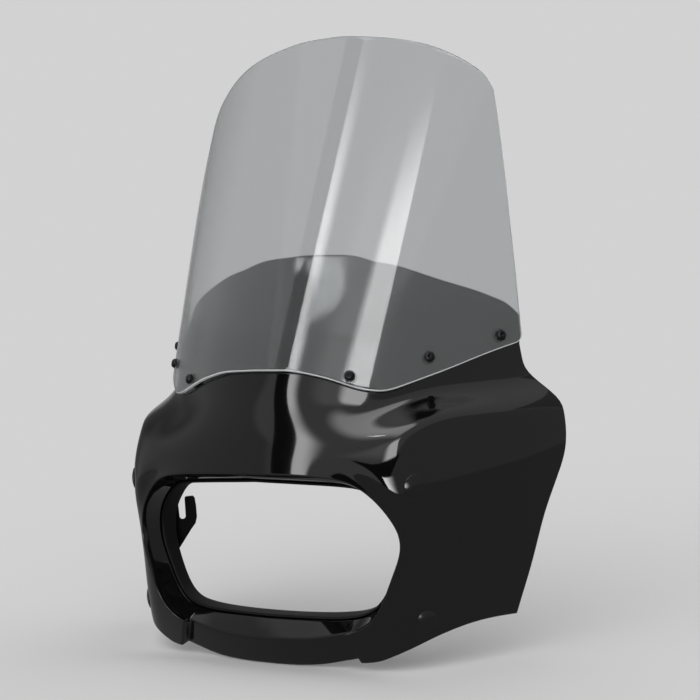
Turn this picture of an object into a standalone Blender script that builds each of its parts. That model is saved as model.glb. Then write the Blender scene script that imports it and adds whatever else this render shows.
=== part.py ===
"""Half fairing for a motorcycle: moulded shell, clear windshield and their fixings.

Sizes are in millimetres and are turned into metres when each mesh is made.
While it is drawn, the part has X across, Y rearward and Z up, with zero at
the middle of the top edge of the headlight opening.  At the end everything
is moved together so that zero is the bottom middle of the whole fairing.
"""
import math

import bmesh
import bpy
import numpy as np

MM = 0.001

# Walls and gaps
SHELL_WALL = 3.5
WINDSHIELD_WALL = 4.0
SEAT_GAP = 2.4          # air between windshield and shell, filled by the well nut flanges
NODE_GAP = 0.4          # smallest gap left between two pieces

# Windshield: a raked sheet, bent tighter at the foot than at the top
RAKE = math.radians(26.7)
FOOT_Y = 43.0
FOOT_Z = 104.4
FOOT_BEND = 258.0
TOP_BEND = 335.0
WINDSHIELD_HEIGHT = 395.0
# Outline on the flat sheet: along the bend, up the sheet
WINDSHIELD_FOOT = [(0, 0), (22, 0), (48, 0), (66.5, -2), (92, -5.7), (117, -10.5), (140, -11.4),
                   (151, -9.5), (165, -3), (184, 8.5), (214, 27.5), (243, 47.5), (268, 64), (283, 73.5)]
WINDSHIELD_SIDE = [(283, 73.5), (286.5, 79), (285, 88), (280, 104), (270, 138), (252, 200), (233, 269),
                   (219, 317), (212, 340)]
WINDSHIELD_TOP = [(0, 395), (28, 395), (54, 393), (94, 389.5), (125, 385), (158, 376), (184, 365),
                  (200, 355), (212, 340)]

# Windshield fixings: a screw with its washer, and the rubber well nut that it pulls up
SCREW_SPOTS = [(112, 0), (190, 34), (262, 75)]
SCREW_SHANK = 2.5
SCREW_LENGTH = 24.0
SCREW_HEAD_RADIUS = 5.2
SCREW_HEAD_HEIGHT = 3.2
SOCKET_RADIUS = 1.9
SOCKET_DEPTH = 2.0
WASHER_RADIUS = 5.9
WASHER_THICKNESS = 1.2
WELL_NUT_RADIUS = 4.6
WELL_NUT_BULGE = 5.8
WELL_NUT_LENGTH = 10.0  # how far it stands behind the shell
WELL_NUT_FLANGE_RADIUS = 8.0
WELL_NUT_FLANGE = 1.1
HOLE_ROOM = 0.5         # added to a shank's radius for the hole round it

# Shell below the windshield: plan sections, one row for each height
SECTION_Z = [-215, -170, -85, 0, 45, 100]
NOSE_Y = [10, 1, -3, 0, 16, 42]
FRONT_RADIUS = [500, 500, 500, 490, 400, 300]
CORNER_START = [148, 148, 148, 152, 150, 150]
CORNER_LENGTH = [60, 60, 56, 60, 80, 110]
CORNER_TURN = [27, 27, 27, 27, 22, 16]
WING_RADIUS = 520.0

# Shell behind the windshield: follows the sheet, then leans away above a crease
SEAT_STRETCH = 0.86
LEAN = 0.62
LEAN_START = 14.0
LEAN_FADE = [(0, 1.0), (134, 0.76), (236, 0.55), (330, 0.42), (400, 0.35)]
CREASE_Z = [(0, 131), (100, 125), (190, 118), (240, 119), (305, 128), (400, 140)]
# Between these heights the lower body blends into the seat, which makes the shoulder
SHOULDER_FOOT_Z = [(0, 10), (80, 8), (150, 18), (210, 40), (280, 38), (350, 34), (420, 32)]
SHOULDER_TOP_Z = [(0, 100), (80, 90), (120, 78), (163, 68), (210, 74), (280, 84), (350, 91), (420, 96)]

# Edges of the shell, as distance from the middle and height
OPENING_EDGE = [(0, 1), (44, 0.6), (80, -1), (112, -4.5), (128, -8.5), (147, -19.5), (161.5, -33.5),
                (173, -49), (179, -62), (180.3, -74), (177.5, -87), (171, -102), (162, -121), (152, -139.5),
                (140, -153), (124, -162.3), (100, -168.5), (69, -173.2), (38, -175.7), (0, -176.5)]
TOP_EDGE = [(0, 217.5), (42, 216.2), (85, 211.9), (107, 206.5), (135, 201.4), (170, 192.4), (204, 182.5),
            (237, 173.4), (264, 165.6), (288, 157.6), (304, 151.5), (316, 145), (326.5, 137), (332, 126)]
REAR_EDGE_SIDE = [(204, 108), (204, 88), (207, 75), (209.5, 65), (210.5, 55), (210, 44), (208, 31.5), (205, 14),
                  (201, -3), (188, -30), (168, -68), (150, -114), (136, -148), (130, -164)]
WING_FOOT = [(263, -163.4), (228, -168), (192, -178), (157, -191), (143, -195.5), (123, -197.5)]
CHIN_FOOT = [(121.5, -195.8), (102, -199.4), (82, -203.2), (60, -206), (35, -207.2), (0, -207.5)]
CHIN_RECESS = 8.5       # the chin lies this much deeper than the wings,
CHIN_DROP = 3.2         # and its lip this much lower
# Fractions of the way round the opening where the parts of the outer edge begin or end
REAR_START = 0.44
WING_FOOT_START = 0.585
WING_END = 0.755
CHIN_START = 0.76

# Bezel in the opening: a small step, a sloping band, and a short flange for the rubber
# trim.  Insets are square to the edge as seen from the front, at these fractions of the
# way from the top middle to the bottom middle.  At the upper corners the skin dips a
# little before it reaches the edge.
ROUND_OPENING = [0, 0.25, 0.38, 0.5, 0.62, 0.76, 0.88, 1]
EDGE_DIP = [0, 1.5, 4.8, 0.5, 0, 0, 0, 0]
DIP_WIDTH = 26.0
STEP_INSET = [4.8, 4.4, 2.2, 3.0, 2.4, 1.2, 0.8, 0.8]
BAND_INSET = [10, 10.5, 6.5, 5, 8.8, 10.4, 16, 17.4]
TRIM_INSET = [15, 15.5, 16.5, 14, 14, 16.5, 21, 22.4]
STEP_DEPTH = 6.0
BAND_DEPTH = 24.0
FLANGE_DEPTH = 34.0
TRIM_DEPTH = 42.0

# Bolts that hold the mounting plates to the wings
BOLT_SPOTS = [(201, -15), (201, -155)]
BOLT_SHANK = 4.0
BOLT_HEAD_RADIUS = 11.0
BOLT_HEAD_HEIGHT = 3.2
BOLT_HEAD_GAP = 1.3     # from the wing to the head, so that the flat head clears the curved skin
BOLT_BEYOND = 12.0      # how far the bolt stands out behind the plate
SPACER_RADIUS = 9.0
SPACER_GAP = 1.9
NUT_RADIUS = 7.4
NUT_HEIGHT = 6.5
PLATE_DEPTH = 10.5
PLATE_THICKNESS = 3.0
PLATE_FRONT = -9.0      # edge of the plate in front of the bolts
PLATE_BEYOND = 16.0     # how far it runs past them up and down
PLATE_CORNER = 3.0
WEB_THICKNESS = 4.0
WEB_OFFSET = 15.0
# Outline of the hooked web: distance into the fairing, and height
WEB_FOOT_Z = -128.0
WEB_LOWER_EDGE = [(20, -122), (31, -114), (40, -106.5), (57, -84), (63, -77)]
WEB_FINGER = [(65.2, -70), (65.5, -58), (64.8, -48), (63, -45.3), (54.5, -45.3), (53.2, -47)]
WEB_UPPER_EDGE = [(45.2, -50), (44, -42), (39, -33), (30, -24)]
WEB_TOP_Z = -24.0
HOOK_SLOT_IN = 49.0
HOOK_SLOT_Z = -67.5
HOOK_SLOT_RADIUS = 3.5

# How finely the meshes are cut
TOP_SPOKES = 20
REAR_SPOKES = 12
WING_FOOT_SPOKES = 8
CHIN_SPOKES = 6
RINGS = 13
WINDSHIELD_COLUMNS = 30
WINDSHIELD_ROWS = 12
ROUND = 12


def remove_everything():
    for old in list(bpy.data.objects):
        bpy.data.objects.remove(old, do_unlink=True)


def smooth(t):
    """Rise from 0 to 1 with no kink at either end."""
    t = np.clip(t, 0.0, 1.0)
    return t * t * t * (t * (6.0 * t - 15.0) + 10.0)


def curve(xs, ys):
    """Smooth function through the given points, flat in bending at both ends."""
    xs = np.array(xs, float)
    ys = np.array(ys, float)
    count = len(xs)
    step = np.diff(xs)
    matrix = np.eye(count)
    right = np.zeros(count)
    for i in range(1, count - 1):
        matrix[i, i - 1:i + 2] = step[i - 1], 2 * (step[i - 1] + step[i]), step[i]
        right[i] = 6 * ((ys[i + 1] - ys[i]) / step[i] - (ys[i] - ys[i - 1]) / step[i - 1])
    bend = np.linalg.solve(matrix, right)

    def value(x):
        x = np.clip(np.asarray(x, float), xs[0], xs[-1])
        i = np.clip(np.searchsorted(xs, x) - 1, 0, count - 2)
        after = x - xs[i]
        before = xs[i + 1] - x
        cubic = (bend[i] * before ** 3 + bend[i + 1] * after ** 3) / (6 * step[i])
        line = (ys[i] / step[i] - bend[i] * step[i] / 6) * before
        return cubic + line + (ys[i + 1] / step[i] - bend[i + 1] * step[i] / 6) * after

    return value


def curve_through(points):
    return curve([p[0] for p in points], [p[1] for p in points])


def line_through(points):
    """Smooth line through flat points, read by the fraction of its length."""
    points = np.array(points, float)
    run = np.concatenate([[0], np.cumsum(np.hypot(*np.diff(points, axis=0).T))])
    first = curve(run, points[:, 0])
    second = curve(run, points[:, 1])

    def place(share):
        return np.stack([first(share * run[-1]), second(share * run[-1])], -1)

    return place


def along(points, start, end, count):
    """Points spaced evenly between two fractions of a smooth line's length."""
    return line_through(points)(np.linspace(start, end, count))


# Surfaces

def bend_radius(up):
    return FOOT_BEND + (TOP_BEND - FOOT_BEND) * up / WINDSHIELD_HEIGHT


def sheet_point(across, up, inward=0.0):
    """Point on the windshield, or behind its front face by the inward distance."""
    radius = bend_radius(up)
    angle = across / radius
    drop = radius - (radius - inward) * np.cos(angle)
    x = (radius - inward) * np.sin(angle)
    y = FOOT_Y + up * math.sin(RAKE) + drop * math.cos(RAKE)
    z = FOOT_Z + up * math.cos(RAKE) - drop * math.sin(RAKE)
    return np.stack([x, y, z], -1)


def sheet_out(across, up):
    """Unit direction square to the sheet, pointing forward."""
    tiny = 0.5
    sideways = sheet_point(across + tiny, up) - sheet_point(across - tiny, up)
    upward = sheet_point(across, up + tiny) - sheet_point(across, up - tiny)
    out = np.cross(sideways, upward)
    return out / np.linalg.norm(out)


def sheet_at_height(across, z, inward):
    """The same surface, found from the height instead of the distance up the sheet."""
    up = z - FOOT_Z
    for _ in range(5):
        radius = bend_radius(up)
        drop = radius - (radius - inward) * np.cos(across / radius)
        up = (z - FOOT_Z + drop * math.sin(RAKE)) / math.cos(RAKE)
    return sheet_point(across, up, inward)


section_nose = curve(SECTION_Z, NOSE_Y)
section_front = curve(SECTION_Z, FRONT_RADIUS)
section_corner = curve(SECTION_Z, CORNER_START)
section_length = curve(SECTION_Z, CORNER_LENGTH)
section_turn = curve(SECTION_Z, CORNER_TURN)
gauss_place, gauss_weight = np.polynomial.legendre.leggauss(40)


def plan_section(away, z):
    """Walk along the section at this height, which turns through front, corner and wing.

    How far the walk has come is the sum of its cosines and sines, taken by Gauss' rule.
    """
    corner = section_corner(z)[..., None]
    length = section_length(z)[..., None]
    middle = corner + length / 2
    walked = away[..., None] * (1 + gauss_place) / 2
    turn = np.minimum(walked, middle) / section_front(z)[..., None]
    turn = turn + np.radians(section_turn(z))[..., None] * smooth((walked - corner) / length)
    turn = turn + np.maximum(walked - middle, 0.0) / WING_RADIUS
    x = (np.cos(turn) * gauss_weight).sum(-1) * away / 2
    y = (np.sin(turn) * gauss_weight).sum(-1) * away / 2
    return x, y + section_nose(z)


lean_fade = curve_through(LEAN_FADE)
crease_z = curve_through(CREASE_Z)
shoulder_foot = curve_through(SHOULDER_FOOT_Z)
shoulder_top = curve_through(SHOULDER_TOP_Z)


def skin(s, z):
    """Outer face of the shell at distance s from the middle and height z."""
    s, z = np.broadcast_arrays(np.asarray(s, float), np.asarray(z, float))
    away = np.abs(s)
    lower_x, lower_y = plan_section(away, z)
    seat = sheet_at_height(away * SEAT_STRETCH, z, WINDSHIELD_WALL + SEAT_GAP)
    above = z - crease_z(away)
    bent = np.clip(above, 0.0, LEAN_START)
    lean = LEAN * lean_fade(away) * (bent * bent / (2 * LEAN_START) + np.maximum(above - LEAN_START, 0.0))
    part = smooth((z - shoulder_foot(away)) / (shoulder_top(away) - shoulder_foot(away)))
    x = np.sign(s) * (lower_x * (1 - part) + seat[..., 0] * part)
    y = lower_y * (1 - part) + (seat[..., 1] + lean) * part
    return np.stack([x, y, z], -1)


def skin_inward(s, z):
    """Unit direction pointing into the shell at the same place."""
    tiny = 0.5
    sideways = skin(s + tiny, z) - skin(s - tiny, z)
    upward = skin(s, z + tiny) - skin(s, z - tiny)
    out = np.cross(sideways, upward)
    return -out / np.linalg.norm(out, axis=-1, keepdims=True)


def skin_below(s, z, depth):
    return skin(s, z) + skin_inward(s, z) * np.asarray(depth)[..., None]


# Mesh helpers

def material(name, colour, roughness, metallic=0.0, alpha=1.0):
    made = bpy.data.materials.new(name)
    made.use_nodes = True
    shader = made.node_tree.nodes["Principled BSDF"]
    shader.inputs["Base Color"].default_value = (*colour, 1.0)
    shader.inputs["Roughness"].default_value = roughness
    shader.inputs["Metallic"].default_value = metallic
    shader.inputs["Alpha"].default_value = alpha
    return made


def solid(name, points, faces, look):
    """One object from millimetre points, with every face turned outward."""
    mesh = bpy.data.meshes.new(name)
    mesh.from_pydata([tuple(float(v) * MM for v in p) for p in points], [], faces)
    mesh.validate()
    work = bmesh.new()
    work.from_mesh(mesh)
    bmesh.ops.recalc_face_normals(work, faces=work.faces)
    work.to_mesh(mesh)
    work.free()
    made = bpy.data.objects.new(name, mesh)
    bpy.context.scene.collection.objects.link(made)
    mesh.materials.append(look)
    return made


def thick_sheet(name, front, back, closed, look):
    """Solid between two grids of points; closed grids run round in a ring."""
    rows, columns = front.shape[:2]
    points = np.concatenate([front.reshape(-1, 3), back.reshape(-1, 3)])
    other = rows * columns
    last = columns if closed else columns - 1
    faces = []
    for r in range(rows - 1):
        for c in range(last):
            n = (c + 1) % columns
            a, b, d, e = r * columns + c, r * columns + n, (r + 1) * columns + n, (r + 1) * columns + c
            faces.append((a, b, d, e))
            faces.append((other + a, other + e, other + d, other + b))
    for c in range(last):
        n = (c + 1) % columns
        end = (rows - 1) * columns
        faces.append((c, other + c, other + n, n))
        faces.append((end + c, end + n, other + end + n, other + end + c))
    if not closed:
        for r in range(rows - 1):
            a, b = r * columns, (r + 1) * columns
            faces.append((a, b, other + b, other + a))
            a, b = a + columns - 1, b + columns - 1
            faces.append((a, other + a, other + b, b))
    return solid(name, points, faces, look)


def swept_ring(name, loops, look):
    """Solid ring: each loop is one corner of the cross-section, all the way round."""
    corners, columns = loops.shape[:2]
    faces = []
    for k in range(corners):
        m = (k + 1) % corners
        for c in range(columns):
            n = (c + 1) % columns
            faces.append((k * columns + c, k * columns + n, m * columns + n, m * columns + c))
    return solid(name, loops.reshape(-1, 3), faces, look)


def frame_from(axis):
    """Two directions square to an axis."""
    axis = np.array(axis, float)
    axis = axis / np.linalg.norm(axis)
    side = np.cross(axis, (0.0, 0.0, 1.0))
    side = side / np.linalg.norm(side)
    return axis, side, np.cross(side, axis)


def turned(name, centre, axis, profile, look, sides=ROUND, hole=0.0, hexagon=False):
    """Turned piece: the profile is (radius, distance along the axis)."""
    axis, side, up = frame_from(axis)
    angles = np.linspace(0, 2 * math.pi, sides, endpoint=False)
    ring = np.cos(angles)[:, None] * side + np.sin(angles)[:, None] * up
    outline = ring
    if hexagon:
        outline = ring * (math.cos(math.pi / 6) / np.cos(angles % (math.pi / 3) - math.pi / 6))[:, None]
    loops = [np.asarray(centre) + axis * height + outline * radius for radius, height in profile]
    if hole:
        for height in (profile[-1][1], profile[0][1]):
            loops.append(np.asarray(centre) + axis * height + ring * hole)
        return swept_ring(name, np.stack(loops), look)
    points = np.concatenate(loops)
    faces = [tuple(range(sides - 1, -1, -1))]
    for k in range(len(loops) - 1):
        for c in range(sides):
            n = (c + 1) % sides
            faces.append((k * sides + c, k * sides + n, (k + 1) * sides + n, (k + 1) * sides + c))
    faces.append(tuple(range((len(loops) - 1) * sides, len(loops) * sides)))
    return solid(name, points, faces, look)


def prism(name, outline, place, thickness_dir, look):
    """Flat plate: outline points placed in space, given thickness along a direction."""
    first = np.array([place(*p) for p in outline])
    second = first + np.asarray(thickness_dir)
    count = len(outline)
    faces = [tuple(range(count)), tuple(range(2 * count - 1, count - 1, -1))]
    for k in range(count):
        n = (k + 1) % count
        faces.append((k, count + k, count + n, n))
    return solid(name, np.concatenate([first, second]), faces, look)


def combine(target, cutters, how="DIFFERENCE"):
    """Cut helpers out of a piece, or weld them to it, and remove the helpers."""
    for cutter in cutters:
        cutter.hide_render = True
        cutter.display_type = "WIRE"
        step = target.modifiers.new(how.lower(), "BOOLEAN")
        step.operation = how
        step.solver = "EXACT"
        step.object = cutter
    bpy.context.view_layer.update()
    shape = target.evaluated_get(bpy.context.evaluated_depsgraph_get())
    result = bpy.data.meshes.new_from_object(shape)
    target.modifiers.clear()
    look = target.data.materials[0]
    target.data = result
    result.name = target.name
    result.materials.clear()
    result.materials.append(look)
    for cutter in cutters:
        bpy.data.objects.remove(cutter, do_unlink=True)


def drill(target, centre, axis, radius, start, end):
    """Cut a round hole through a piece, from one distance along the axis to another."""
    combine(target, [turned("cut", centre, axis, [(radius, start), (radius, end)], target.data.materials[0])])


# Fairing shell

def rear_edge():
    """Rear edge drawn in side view, turned into distances along each section."""
    y, z = np.array(REAR_EDGE_SIDE, float).T
    s = np.full(len(y), float(CORNER_START[0] + CORNER_LENGTH[0]))
    for _ in range(12):
        slope = skin(s + 0.5, z)[:, 1] - skin(s - 0.5, z)[:, 1]
        s = s + (y - skin(s, z)[:, 1]) / slope
    return list(zip(s, z))


def spokes():
    """Places round the opening, matching points on the outer edge, and 1 for the chin."""
    rear = rear_edge()
    outer = [along(TOP_EDGE + rear[:1], 0.0, 1.0, TOP_SPOKES + 1)[:-1],
             along(rear, 0.0, 1.0, REAR_SPOKES + 1)[:-1],
             along(rear[-1:] + WING_FOOT, 0.0, 1.0, WING_FOOT_SPOKES + 1),
             along(CHIN_FOOT, 0.0, 1.0, CHIN_SPOKES + 1)]
    share = [np.linspace(0.0, REAR_START, TOP_SPOKES + 1)[:-1],
             np.linspace(REAR_START, WING_FOOT_START, REAR_SPOKES + 1)[:-1],
             np.linspace(WING_FOOT_START, WING_END, WING_FOOT_SPOKES + 1),
             np.linspace(CHIN_START, 1.0, CHIN_SPOKES + 1)]
    chin = np.concatenate([np.full(len(part), float(part is outer[-1])) for part in outer])
    return np.concatenate(share), np.concatenate(outer), chin


def all_round(half):
    """Full ring from the right half: the first and last entries lie in the middle."""
    mirrored = half[-2:0:-1].copy()
    if mirrored.ndim > 1:
        mirrored[..., 0] *= -1
    return np.concatenate([half, mirrored])


opening = line_through(OPENING_EDGE)
share, half_out, half_chin = spokes()
half_dip = np.maximum(curve(ROUND_OPENING, EDGE_DIP)(share), 0.0)
lip = skin_below(*opening(share).T, half_dip)
dip = all_round(half_dip)
chin_part = all_round(half_chin)
edge_in = all_round(opening(share) - np.outer(half_chin, (0.0, CHIN_DROP)))
edge_out = all_round(half_out)


def lip_inward():
    """Directions square to the opening's edge as seen from the front, into the opening."""
    run = skin(*opening(share + 0.002).T) - skin(*opening(share - 0.002).T)
    run[[0, -1], 2] = 0.0
    inward = np.stack([run[:, 2], np.zeros(len(run)), -run[:, 0]], -1)
    return inward / np.linalg.norm(inward, axis=1, keepdims=True)


def bezel(insets, extra, depth, chin_extra=0.0):
    """Loop in the opening: its edge drawn in by the insets and the extra, and set back."""
    inset = curve(ROUND_OPENING, insets)(share) + extra
    half = lip + lip_inward() * inset[:, None]
    half[:, 1] += depth + chin_extra * half_chin
    return all_round(half)


def shell_rows(wall):
    """Rows of points from the flange in the opening out to the shell's outer edge."""
    reach = edge_out - edge_in
    far = np.linalg.norm(reach, axis=1, keepdims=True)
    recess = CHIN_RECESS * chin_part + wall
    at_step = (chin_part != np.roll(chin_part, 1)) | (chin_part != np.roll(chin_part, -1))
    widen = np.sign(edge_in[:, :1]) * at_step[:, None] * np.array([[wall, 0.0]])
    chin_step = CHIN_RECESS + 0.8 - STEP_DEPTH
    if wall:
        start = edge_in + reach / far * (wall + 1.0) + widen
        rows = [bezel(BAND_INSET, 1.4 - wall, FLANGE_DEPTH), bezel(BAND_INSET, -wall, BAND_DEPTH + 1.6),
                bezel(STEP_INSET, 0.3 - wall, STEP_DEPTH + 1.5, chin_step + 2.1)]
    else:
        start = edge_in
        rows = [bezel(BAND_INSET, 1.4, FLANGE_DEPTH), bezel(BAND_INSET, 0.0, BAND_DEPTH),
                bezel(STEP_INSET, 0.0, STEP_DEPTH, chin_step)]
    rows.append(skin_below(start[:, 0], start[:, 1], recess + dip))
    first = 7.0 / far
    for k in range(RINGS):
        part = first + (1 - first) * k / (RINGS - 1)
        place = edge_in + reach * part + widen
        fade = smooth(1 - (part * far)[:, 0] / DIP_WIDTH)
        rows.append(skin_below(place[:, 0], place[:, 1], recess + dip * fade))
    return np.stack(rows)


def build_shell(look):
    return thick_sheet("fairing_shell", shell_rows(0.0), shell_rows(SHELL_WALL), True, look)


def build_trim(look):
    """Rubber channel pushed over the flange of the opening."""
    section = [(BAND_INSET, 1.0 + NODE_GAP, BAND_DEPTH + 1.6), (BAND_INSET, 3.6, BAND_DEPTH + 2.2),
               (TRIM_INSET, 0.0, TRIM_DEPTH), (BAND_INSET, -3.0, TRIM_DEPTH),
               (BAND_INSET, -5.6, TRIM_DEPTH - 4.0), (BAND_INSET, -6.4, BAND_DEPTH + 6.0),
               (BAND_INSET, -4.2, BAND_DEPTH + 6.0), (BAND_INSET, -2.7, FLANGE_DEPTH + 1.0),
               (BAND_INSET, 1.4 + NODE_GAP, FLANGE_DEPTH + 1.0)]
    return swept_ring("opening_edge_trim", np.stack([bezel(*corner) for corner in section]), look)


# Windshield

def patch(foot, side, top, columns, rows):
    """Grid that fills the outline between foot, side and top edges of one sheet."""
    half = columns // 2
    low = along(foot, 0.0, 1.0, half + 1)
    high = along(top, 0.0, 1.0, half + 1)
    mirror = np.array([-1.0, 1.0])
    low = np.concatenate([low[:0:-1] * mirror, low])
    high = np.concatenate([high[:0:-1] * mirror, high])
    right = along(side, 0.0, 1.0, rows + 1)
    left = right * mirror
    u = np.linspace(0, 1, 2 * half + 1)[None, :, None]
    v = np.linspace(0, 1, rows + 1)[:, None, None]
    grid = (1 - v) * low[None] + v * high[None] + (1 - u) * left[:, None] + u * right[:, None]
    corners = (1 - v) * ((1 - u) * low[0] + u * low[-1]) + v * ((1 - u) * high[0] + u * high[-1])
    return grid - corners


def build_windshield(look):
    flat = patch(WINDSHIELD_FOOT, WINDSHIELD_SIDE, WINDSHIELD_TOP, WINDSHIELD_COLUMNS, WINDSHIELD_ROWS)
    front = sheet_point(flat[..., 0], flat[..., 1])
    back = sheet_point(flat[..., 0], flat[..., 1], WINDSHIELD_WALL)
    return thick_sheet("windshield", front, back, False, look)


def screw_places():
    """Name, spot on the sheet and outward direction of each windshield screw."""
    places = []
    for side, sign in (("left", -1), ("right", 1)):
        for number, (across, up) in enumerate(SCREW_SPOTS, 1):
            spot = sheet_point(sign * across, up)
            places.append((f"{side}_{number}", spot, sheet_out(sign * across, up)))
    return places


def build_windshield_fixings(shell, windshield, black, plastic, rubber):
    under = WASHER_THICKNESS + 2 * NODE_GAP
    top = under + SCREW_HEAD_HEIGHT
    # Distances below the windshield's front: the flange of the well nut, and the shell's back
    flange_top = -WINDSHIELD_WALL - 0.65
    flange_foot = flange_top - WELL_NUT_FLANGE
    behind = -WINDSHIELD_WALL - SEAT_GAP - SHELL_WALL
    for tag, spot, out in screw_places():
        turned(f"windshield_screw_{tag}", spot, out,
               [(SCREW_SHANK, -SCREW_LENGTH), (SCREW_SHANK, under), (SCREW_HEAD_RADIUS, under),
                (SCREW_HEAD_RADIUS, under + 0.9), (SCREW_HEAD_RADIUS - 0.6, top - 1.0),
                (SCREW_HEAD_RADIUS - 2.1, top - 0.1), (SOCKET_RADIUS + 0.1, top),
                (SOCKET_RADIUS, top - SOCKET_DEPTH)], black)
        turned(f"windshield_washer_{tag}", spot, out,
               [(WASHER_RADIUS, NODE_GAP), (WASHER_RADIUS, NODE_GAP + WASHER_THICKNESS)], plastic,
               hole=SCREW_SHANK + HOLE_ROOM)
        turned(f"well_nut_{tag}", spot, out,
               [(WELL_NUT_RADIUS, behind - WELL_NUT_LENGTH), (WELL_NUT_BULGE, behind - WELL_NUT_LENGTH + 1.0),
                (WELL_NUT_BULGE, behind - 2.2), (WELL_NUT_RADIUS, behind - 1.6), (WELL_NUT_RADIUS, flange_foot),
                (WELL_NUT_FLANGE_RADIUS, flange_foot), (WELL_NUT_FLANGE_RADIUS, flange_top)], rubber,
               hole=SCREW_SHANK + HOLE_ROOM)
        drill(windshield, spot, out, SCREW_SHANK + 0.8, -SCREW_LENGTH / 2, top)
        drill(shell, spot, out, WELL_NUT_RADIUS + HOLE_ROOM, -SCREW_LENGTH, -WINDSHIELD_WALL / 4)


# Mounting plates

def plate_frame(sign):
    """Middle of the two bolts, direction into the fairing and direction rearward along the wing."""
    spots = np.array([skin(np.array(sign * s), np.array(z)) for s, z in BOLT_SPOTS])
    into = sum(skin_inward(np.array(sign * s), np.array(z)) for s, z in BOLT_SPOTS)
    into[2] = 0.0
    into = into / np.linalg.norm(into)
    return spots, into, np.array([sign * into[1], abs(into[0]), 0.0])


def strip_outline():
    """Upright strip behind both bolts with its corners cut: along the wing, and up."""
    rear = WEB_OFFSET + WEB_THICKNESS - 1.0
    top = max(z for _, z in BOLT_SPOTS) + PLATE_BEYOND
    foot = min(z for _, z in BOLT_SPOTS) - PLATE_BEYOND
    cut = PLATE_CORNER
    return [(PLATE_FRONT, foot + cut), (PLATE_FRONT + cut, foot), (rear - cut, foot), (rear, foot + cut),
            (rear, top - cut), (rear - cut, top), (PLATE_FRONT + cut, top), (PLATE_FRONT, top - cut)]


def web_outline():
    """Hooked web from its weld on the strip: into the fairing, and up."""
    weld = PLATE_DEPTH + 1.0
    slot = []
    for turn in np.linspace(0.0, -math.pi, 7):
        slot.append((HOOK_SLOT_IN + HOOK_SLOT_RADIUS * math.cos(turn),
                     HOOK_SLOT_Z + HOOK_SLOT_RADIUS * math.sin(turn)))
    return [(weld, WEB_FOOT_Z)] + WEB_LOWER_EDGE + WEB_FINGER + slot + WEB_UPPER_EDGE + [(weld, WEB_TOP_Z)]


def build_plate_side(side, sign, shell, steel, black, rubber):
    spots, into, rearward = plate_frame(sign)
    near = min(spots @ into)
    base = spots.mean(axis=0)
    base = base + into * (near - base @ into)

    def at(along_wing, depth, z):
        return base * (1.0, 1.0, 0.0) + rearward * along_wing + into * depth + np.array([0.0, 0.0, z])

    plate = prism(f"mounting_plate_{side}", strip_outline(), lambda a, z: at(a, PLATE_DEPTH, z),
                  into * PLATE_THICKNESS, steel)
    web = prism("weld", web_outline(), lambda d, z: at(WEB_OFFSET, d, z), rearward * WEB_THICKNESS, steel)
    combine(plate, [web], "UNION")
    for spot, level in zip(spots, ("upper", "lower")):
        plate_face = PLATE_DEPTH - (spot @ into - near)
        plate_back = plate_face + PLATE_THICKNESS
        bolt_end = -plate_back - BOLT_BEYOND
        under = BOLT_HEAD_GAP
        top = under + BOLT_HEAD_HEIGHT
        drill(plate, spot, -into, BOLT_SHANK + HOLE_ROOM, bolt_end, top)
        drill(shell, spot, -into, BOLT_SHANK + HOLE_ROOM, bolt_end, top)
        turned(f"plate_bolt_{side}_{level}", spot, -into,
               [(BOLT_SHANK, bolt_end), (BOLT_SHANK, under), (BOLT_HEAD_RADIUS, under),
                (BOLT_HEAD_RADIUS, top - 1.6), (BOLT_HEAD_RADIUS - 0.6, top - 0.6),
                (BOLT_HEAD_RADIUS - 2.2, top)], black, sides=20)
        turned(f"plate_spacer_{side}_{level}", spot, -into,
               [(SPACER_RADIUS, -plate_face + NODE_GAP), (SPACER_RADIUS, -SHELL_WALL - SPACER_GAP)], rubber,
               hole=BOLT_SHANK + HOLE_ROOM)
        nut_face = -plate_back - NODE_GAP
        turned(f"plate_nut_{side}_{level}", spot, -into,
               [(NUT_RADIUS - 0.8, nut_face - NUT_HEIGHT), (NUT_RADIUS, nut_face - NUT_HEIGHT + 0.5),
                (NUT_RADIUS, nut_face - 0.5), (NUT_RADIUS - 0.8, nut_face)],
               steel, hole=BOLT_SHANK + NODE_GAP, hexagon=True)


def move_to_bottom_middle():
    """Put zero at the bottom middle of the box round everything."""
    pieces = [made for made in bpy.data.objects if made.type == "MESH"]
    points = np.concatenate([np.array([tuple(v.co) for v in made.data.vertices]) for made in pieces])
    low = points.min(axis=0)
    high = points.max(axis=0)
    middle = ((low[0] + high[0]) / 2, (low[1] + high[1]) / 2, low[2])
    for made in pieces:
        for vertex in made.data.vertices:
            vertex.co = [vertex.co[i] - middle[i] for i in range(3)]


def build():
    remove_everything()
    gloss = material("gloss_black_plastic", (0.006, 0.006, 0.007), 0.12)
    clear = material("clear_acrylic", (0.75, 0.77, 0.78), 0.05, alpha=0.35)
    rubber = material("black_rubber", (0.012, 0.012, 0.012), 0.7)
    steel = material("black_painted_steel", (0.01, 0.01, 0.011), 0.35)
    black = material("black_zinc_steel", (0.02, 0.02, 0.022), 0.3, metallic=0.8)
    nylon = material("black_nylon", (0.015, 0.015, 0.015), 0.45)
    shell = build_shell(gloss)
    build_trim(rubber)
    windshield = build_windshield(clear)
    build_windshield_fixings(shell, windshield, black, nylon, rubber)
    for side, sign in (("left", -1), ("right", 1)):
        build_plate_side(side, sign, shell, steel, black, rubber)
    move_to_bottom_middle()


build()
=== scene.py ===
import math

import bmesh
import bpy
import numpy as np
from mathutils import Matrix, Vector


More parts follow.
